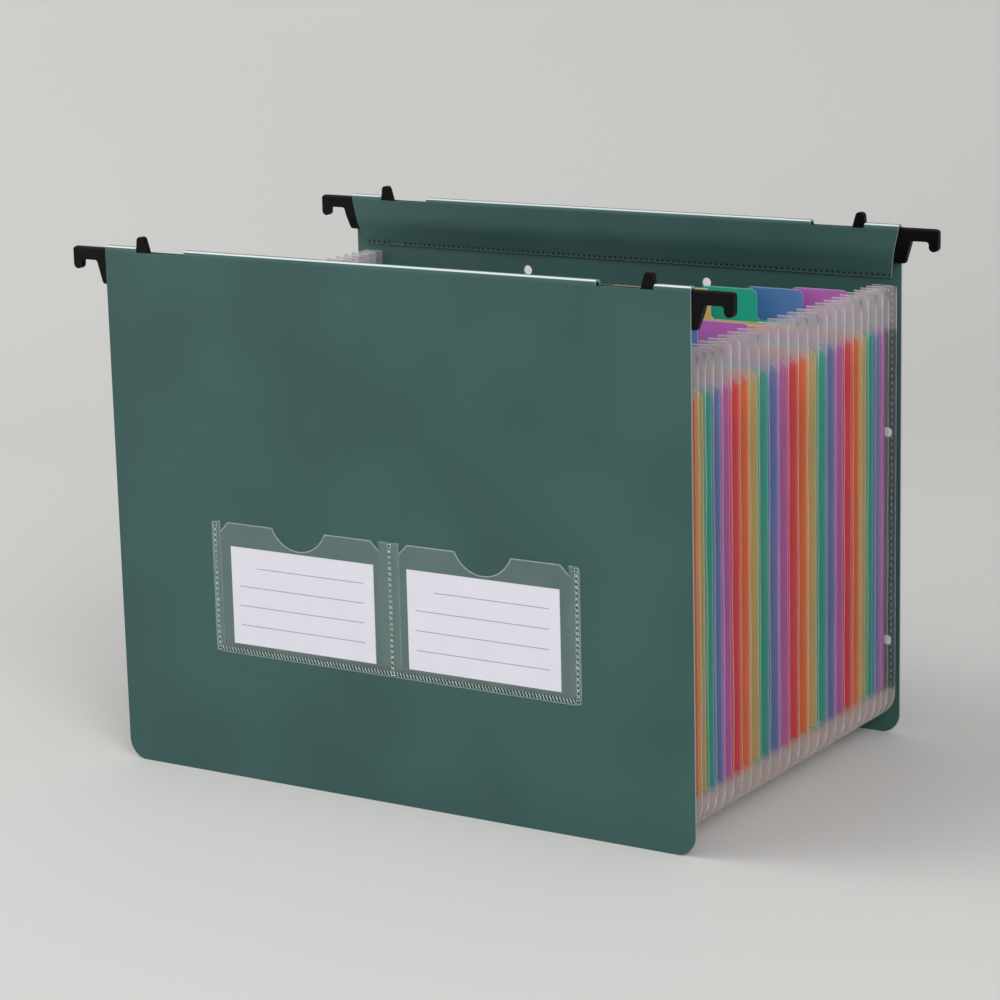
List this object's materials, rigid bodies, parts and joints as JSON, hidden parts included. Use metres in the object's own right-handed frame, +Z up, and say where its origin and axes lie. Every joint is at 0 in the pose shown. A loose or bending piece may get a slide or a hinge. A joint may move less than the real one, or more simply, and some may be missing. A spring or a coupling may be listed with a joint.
{
  "type": "hanging accordion file",
  "caption": "Free-standing accordion file: two covers joined by film pleats with coloured tabbed dividers, a label holder in front, and sliding hooks for hanging rails.",
  "frame": {"origin": "centre of the open file's box on the surface that the covers stand on, with the hooks drawn out", "axes": "+X along the covers to the right as seen from the label side, +Y from the label cover to the back cover, +Z up"},
  "size_m": [0.359, 0.2124, 0.26],
  "materials": {
    "cover": "fine matt grain",
    "rail": "bright rolled strip",
    "hook": "satin moulded",
    "label_film": "clear film",
    "card": "uncoated paper",
    "pleat_film": "frosted translucent film",
    "divider_red": "translucent satin sheet",
    "divider_orange": "translucent satin sheet",
    "divider_yellow": "translucent satin sheet",
    "divider_green": "translucent satin sheet",
    "divider_blue": "translucent satin sheet",
    "divider_violet": "translucent satin sheet"
  },
  "bodies": {
    "front_cover": {"front_cover": "cover", "front_rail": "rail", "label_holder": "label_film", "gusset_01": "pleat_film"},
    "divider_01": {"divider_01": "divider_red", "gusset_02": "pleat_film"},
    "divider_02": {"divider_02": "divider_orange", "gusset_03": "pleat_film"},
    "divider_03": {"divider_03": "divider_yellow", "gusset_04": "pleat_film"},
    "divider_04": {"divider_04": "divider_green", "gusset_05": "pleat_film"},
    "divider_05": {"divider_05": "divider_blue", "gusset_06": "pleat_film"},
    "divider_06": {"divider_06": "divider_violet", "gusset_07": "pleat_film"},
    "divider_07": {"divider_07": "divider_red", "gusset_08": "pleat_film"},
    "divider_08": {"divider_08": "divider_orange", "gusset_09": "pleat_film"},
    "divider_09": {"divider_09": "divider_yellow", "gusset_10": "pleat_film"},
    "divider_10": {"divider_10": "divider_green", "gusset_11": "pleat_film"},
    "divider_11": {"divider_11": "divider_blue", "gusset_12": "pleat_film"},
    "divider_12": {"divider_12": "divider_violet", "gusset_13": "pleat_film"},
    "divider_13": {"divider_13": "divider_red", "gusset_14": "pleat_film"},
    "divider_14": {"divider_14": "divider_orange", "gusset_15": "pleat_film"},
    "divider_15": {"divider_15": "divider_yellow", "gusset_16": "pleat_film"},
    "divider_16": {"divider_16": "divider_green", "gusset_17": "pleat_film"},
    "divider_17": {"divider_17": "divider_blue", "gusset_18": "pleat_film"},
    "divider_18": {"divider_18": "divider_violet", "gusset_19": "pleat_film"},
    "divider_19": {"divider_19": "divider_red", "gusset_20": "pleat_film"},
    "divider_20": {"divider_20": "divider_orange", "gusset_21": "pleat_film"},
    "divider_21": {"divider_21": "divider_yellow", "gusset_22": "pleat_film"},
    "divider_22": {"divider_22": "divider_green", "gusset_23": "pleat_film"},
    "divider_23": {"divider_23": "divider_blue", "gusset_24": "pleat_film"},
    "divider_24": {"divider_24": "divider_violet", "gusset_25": "pleat_film"},
    "back_cover": {"back_cover": "cover", "back_rail": "rail"},
    "front_left_hook": {"front_left_hook": "hook"},
    "front_right_hook": {"front_right_hook": "hook"},
    "back_left_hook": {"back_left_hook": "hook"},
    "back_right_hook": {"back_right_hook": "hook"},
    "left_card": {"left_card": "card"},
    "right_card": {"right_card": "card"}
  },
  "joints": [
    {"name": "pleat_01", "type": "slide", "parent": "front_cover", "child": "divider_01", "axis": [0, -1, 0], "range_m": [-0.00116, 0.00445], "deforming": ["gusset_01"]},
    {"name": "pleat_02", "type": "slide", "parent": "divider_01", "child": "divider_02", "axis": [0, -1, 0], "range_m": [-0.00129, 0.00496], "deforming": ["gusset_02"]},
    {"name": "pleat_03", "type": "slide", "parent": "divider_02", "child": "divider_03", "axis": [0, -1, 0], "range_m": [-0.00142, 0.00545], "deforming": ["gusset_03"]},
    {"name": "pleat_04", "type": "slide", "parent": "divider_03", "child": "divider_04", "axis": [0, -1, 0], "range_m": [-0.00155, 0.00593], "deforming": ["gusset_04"]},
    {"name": "pleat_05", "type": "slide", "parent": "divider_04", "child": "divider_05", "axis": [0, -1, 0], "range_m": [-0.00166, 0.00637], "deforming": ["gusset_05"]},
    {"name": "pleat_06", "type": "slide", "parent": "divider_05", "child": "divider_06", "axis": [0, -1, 0], "range_m": [-0.00177, 0.00678], "deforming": ["gusset_06"]},
    {"name": "pleat_07", "type": "slide", "parent": "divider_06", "child": "divider_07", "axis": [0, -1, 0], "range_m": [-0.00187, 0.00715], "deforming": ["gusset_07"]},
    {"name": "pleat_08", "type": "slide", "parent": "divider_07", "child": "divider_08", "axis": [0, -1, 0], "range_m": [-0.00195, 0.00748], "deforming": ["gusset_08"]},
    {"name": "pleat_09", "type": "slide", "parent": "divider_08", "child": "divider_09", "axis": [0, -1, 0], "range_m": [-0.00202, 0.00775], "deforming": ["gusset_09"]},
    {"name": "pleat_10", "type": "slide", "parent": "divider_09", "child": "divider_10", "axis": [0, -1, 0], "range_m": [-0.00208, 0.00797], "deforming": ["gusset_10"]},
    {"name": "pleat_11", "type": "slide", "parent": "divider_10", "child": "divider_11", "axis": [0, -1, 0], "range_m": [-0.00212, 0.00813], "deforming": ["gusset_11"]},
    {"name": "pleat_12", "type": "slide", "parent": "divider_11", "child": "divider_12", "axis": [0, -1, 0], "range_m": [-0.00214, 0.00822], "deforming": ["gusset_12"]},
    {"name": "pleat_13", "type": "slide", "parent": "divider_12", "child": "divider_13", "axis": [0, -1, 0], "range_m": [-0.00215, 0.00825], "deforming": ["gusset_13"]},
    {"name": "pleat_14", "type": "slide", "parent": "divider_13", "child": "divider_14", "axis": [0, -1, 0], "range_m": [-0.00214, 0.00822], "deforming": ["gusset_14"]},
    {"name": "pleat_15", "type": "slide", "parent": "divider_14", "child": "divider_15", "axis": [0, -1, 0], "range_m": [-0.00212, 0.00813], "deforming": ["gusset_15"]},
    {"name": "pleat_16", "type": "slide", "parent": "divider_15", "child": "divider_16", "axis": [0, -1, 0], "range_m": [-0.00208, 0.00797], "deforming": ["gusset_16"]},
    {"name": "pleat_17", "type": "slide", "parent": "divider_16", "child": "divider_17", "axis": [0, -1, 0], "range_m": [-0.00202, 0.00775], "deforming": ["gusset_17"]},
    {"name": "pleat_18", "type": "slide", "parent": "divider_17", "child": "divider_18", "axis": [0, -1, 0], "range_m": [-0.00195, 0.00748], "deforming": ["gusset_18"]},
    {"name": "pleat_19", "type": "slide", "parent": "divider_18", "child": "divider_19", "axis": [0, -1, 0], "range_m": [-0.00187, 0.00715], "deforming": ["gusset_19"]},
    {"name": "pleat_20", "type": "slide", "parent": "divider_19", "child": "divider_20", "axis": [0, -1, 0], "range_m": [-0.00177, 0.00678], "deforming": ["gusset_20"]},
    {"name": "pleat_21", "type": "slide", "parent": "divider_20", "child": "divider_21", "axis": [0, -1, 0], "range_m": [-0.00166, 0.00637], "deforming": ["gusset_21"]},
    {"name": "pleat_22", "type": "slide", "parent": "divider_21", "child": "divider_22", "axis": [0, -1, 0], "range_m": [-0.00155, 0.00593], "deforming": ["gusset_22"]},
    {"name": "pleat_23", "type": "slide", "parent": "divider_22", "child": "divider_23", "axis": [0, -1, 0], "range_m": [-0.00142, 0.00545], "deforming": ["gusset_23"]},
    {"name": "pleat_24", "type": "slide", "parent": "divider_23", "child": "divider_24", "axis": [0, -1, 0], "range_m": [-0.00129, 0.00496], "deforming": ["gusset_24"]},
    {"name": "pleat_25", "type": "slide", "parent": "divider_24", "child": "back_cover", "axis": [0, -1, 0], "range_m": [-0.00116, 0.00446], "deforming": ["gusset_25"]},
    {"name": "front_left_hook_slide", "type": "slide", "parent": "front_cover", "child": "front_left_hook", "axis": [1, 0, 0], "range_m": [0, 0.022]},
    {"name": "front_right_hook_slide", "type": "slide", "parent": "front_cover", "child": "front_right_hook", "axis": [-1, 0, 0], "range_m": [0, 0.022]},
    {"name": "back_left_hook_slide", "type": "slide", "parent": "back_cover", "child": "back_left_hook", "axis": [1, 0, 0], "range_m": [0, 0.022]},
    {"name": "back_right_hook_slide", "type": "slide", "parent": "back_cover", "child": "back_right_hook", "axis": [-1, 0, 0], "range_m": [0, 0.022]},
    {"name": "left_card_slide", "type": "slide", "parent": "front_cover", "child": "left_card", "axis": [0, 0, 1], "range_m": [0, 0.06]},
    {"name": "right_card_slide", "type": "slide", "parent": "front_cover", "child": "right_card", "axis": [0, 0, 1], "range_m": [0, 0.06]}
  ],
  "couplings": [
    {"joint": "pleat_02", "follows": "pleat_01", "ratio": 1.1133},
    {"joint": "pleat_03", "follows": "pleat_01", "ratio": 1.2239},
    {"joint": "pleat_04", "follows": "pleat_01", "ratio": 1.33},
    {"joint": "pleat_05", "follows": "pleat_01", "ratio": 1.4301},
    {"joint": "pleat_06", "follows": "pleat_01", "ratio": 1.5225},
    {"joint": "pleat_07", "follows": "pleat_01", "ratio": 1.6057},
    {"joint": "pleat_08", "follows": "pleat_01", "ratio": 1.6785},
    {"joint": "pleat_09", "follows": "pleat_01", "ratio": 1.7397},
    {"joint": "pleat_10", "follows": "pleat_01", "ratio": 1.7883},
    {"joint": "pleat_11", "follows": "pleat_01", "ratio": 1.8236},
    {"joint": "pleat_12", "follows": "pleat_01", "ratio": 1.845},
    {"joint": "pleat_13", "follows": "pleat_01", "ratio": 1.8521},
    {"joint": "pleat_14", "follows": "pleat_01", "ratio": 1.845},
    {"joint": "pleat_15", "follows": "pleat_01", "ratio": 1.8236},
    {"joint": "pleat_16", "follows": "pleat_01", "ratio": 1.7883},
    {"joint": "pleat_17", "follows": "pleat_01", "ratio": 1.7397},
    {"joint": "pleat_18", "follows": "pleat_01", "ratio": 1.6785},
    {"joint": "pleat_19", "follows": "pleat_01", "ratio": 1.6057},
    {"joint": "pleat_20", "follows": "pleat_01", "ratio": 1.5225},
    {"joint": "pleat_21", "follows": "pleat_01", "ratio": 1.4301},
    {"joint": "pleat_22", "follows": "pleat_01", "ratio": 1.33},
    {"joint": "pleat_23", "follows": "pleat_01", "ratio": 1.2239},
    {"joint": "pleat_24", "follows": "pleat_01", "ratio": 1.1133},
    {"joint": "pleat_25", "follows": "pleat_01", "ratio": 1}
  ]
}
